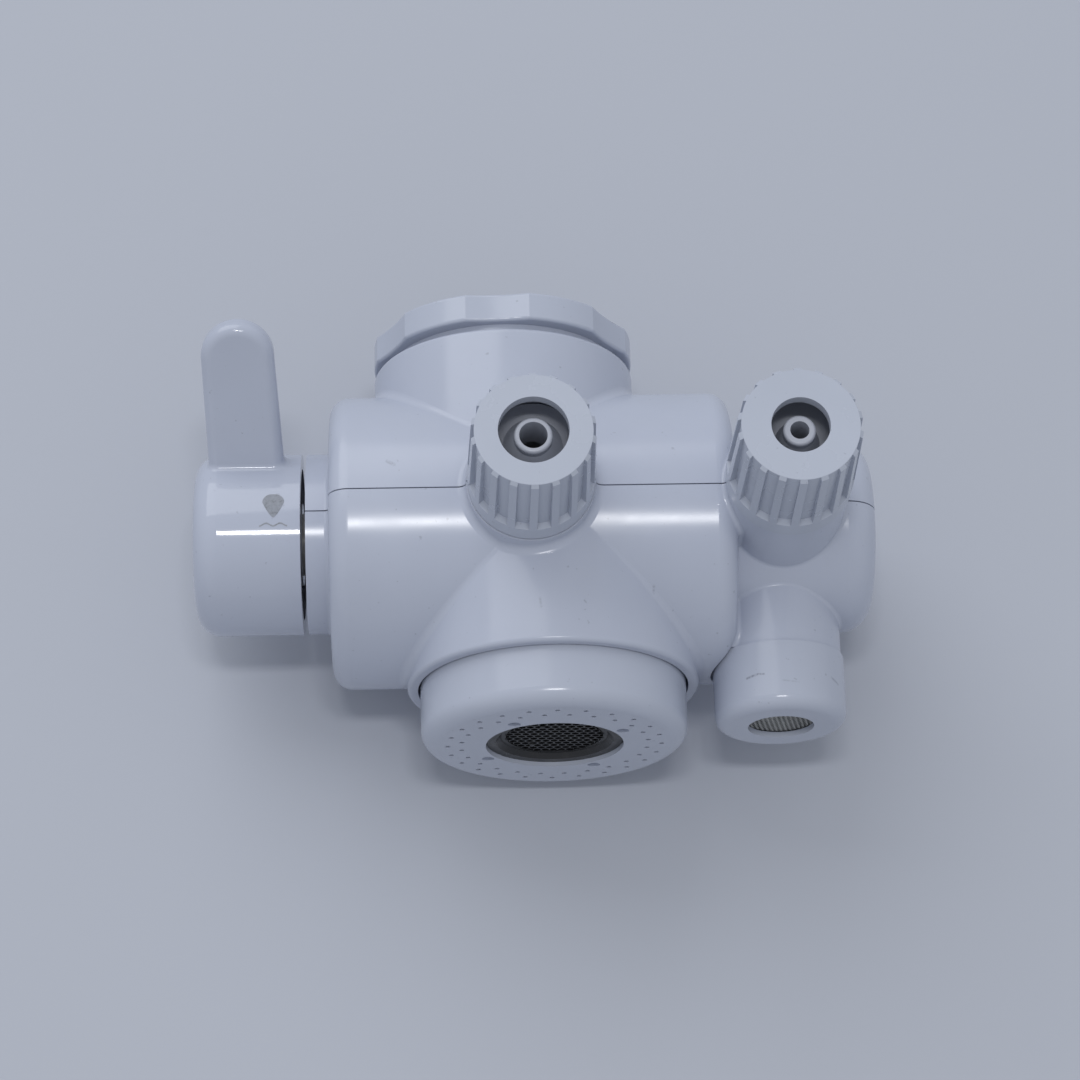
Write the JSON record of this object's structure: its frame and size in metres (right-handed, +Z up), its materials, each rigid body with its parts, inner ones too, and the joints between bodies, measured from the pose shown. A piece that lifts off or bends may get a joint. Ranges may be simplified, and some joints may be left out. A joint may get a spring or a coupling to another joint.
{
  "type": "faucet diverter valve",
  "caption": "Diverter valve that hangs under a kitchen tap: round body, side lever, shower face with aerator, hose connectors and a small filtered water spout.",
  "frame": {"origin": "centre of the mouth of the tap thread, at the top of the inlet", "axes": "+Z up out of the tap thread, +X along the drum from the lever to the small spout, -Y towards the user, where the hose connectors point"},
  "size_m": [0.1082, 0.0696, 0.0693],
  "materials": {
    "housing_white": "glossy moulded",
    "lever_white": "glossy moulded",
    "fitting_white": "glossy moulded",
    "nut_white": "satin moulded",
    "nipple_plastic": "satin moulded",
    "inner_plastic": "plain moulded",
    "aerator_black": "satin moulded",
    "steel_mesh": "woven wire",
    "adapter_metal": "plated",
    "screw_steel": "plain",
    "rubber": "matte"
  },
  "bodies": {
    "housing": {"upper_shell": "housing_white", "lower_shell": "housing_white", "valve_body": "inner_plastic", "rotor_retainer": "inner_plastic", "tap_adapter": "adapter_metal", "inlet_gasket": "rubber", "inlet_strainer": "steel_mesh", "spray_gasket": "rubber", "hose_nipple_1": "nipple_plastic", "hose_nipple_2": "nipple_plastic", "return_elbow": "inner_plastic"},
    "lever": {"lever_handle": "lever_white", "rotor": "inner_plastic", "rotor_o_ring_left": "rubber", "rotor_o_ring_right": "rubber", "stem_o_ring": "rubber", "lever_screw": "screw_steel", "lever_plug": "lever_white"},
    "lock_ring": {"lock_nut": "fitting_white"},
    "spray_head": {"spray_cap": "fitting_white", "aerator_housing": "aerator_black", "aerator_grille": "aerator_black"},
    "left_hose_nut": {"hose_nut_1": "nut_white"},
    "right_hose_nut": {"hose_nut_2": "nut_white"},
    "spout_tip": {"spout_cap": "fitting_white", "spout_mesh": "steel_mesh", "spout_gasket": "rubber"}
  },
  "joints": [
    {"name": "lever_turn", "type": "hinge", "parent": "housing", "child": "lever", "pos_m": [-0.0412, 0, -0.0337], "axis": [1, 0, 0], "range_deg": [-46, 44]},
    {"name": "lock_nut_turn", "type": "hinge", "parent": "housing", "child": "lock_ring", "pos_m": [0, 0, 0], "axis": [0, 0, 1], "continuous": true},
    {"name": "spray_cap_turn", "type": "hinge", "parent": "housing", "child": "spray_head", "pos_m": [0.00689, 0, -0.0683], "axis": [0, 0, 1], "continuous": true},
    {"name": "hose_nut_1_turn", "type": "hinge", "parent": "housing", "child": "left_hose_nut", "pos_m": [0.00345, -0.0456, -0.0337], "axis": [0, -1, 0], "continuous": true},
    {"name": "hose_nut_2_turn", "type": "hinge", "parent": "housing", "child": "right_hose_nut", "pos_m": [0.04347, -0.0461, -0.0337], "axis": [0, -1, 0], "continuous": true},
    {"name": "spout_cap_turn", "type": "hinge", "parent": "housing", "child": "spout_tip", "pos_m": [0.04285, 0, -0.0659], "axis": [0, 0, 1], "continuous": true}
  ]
}
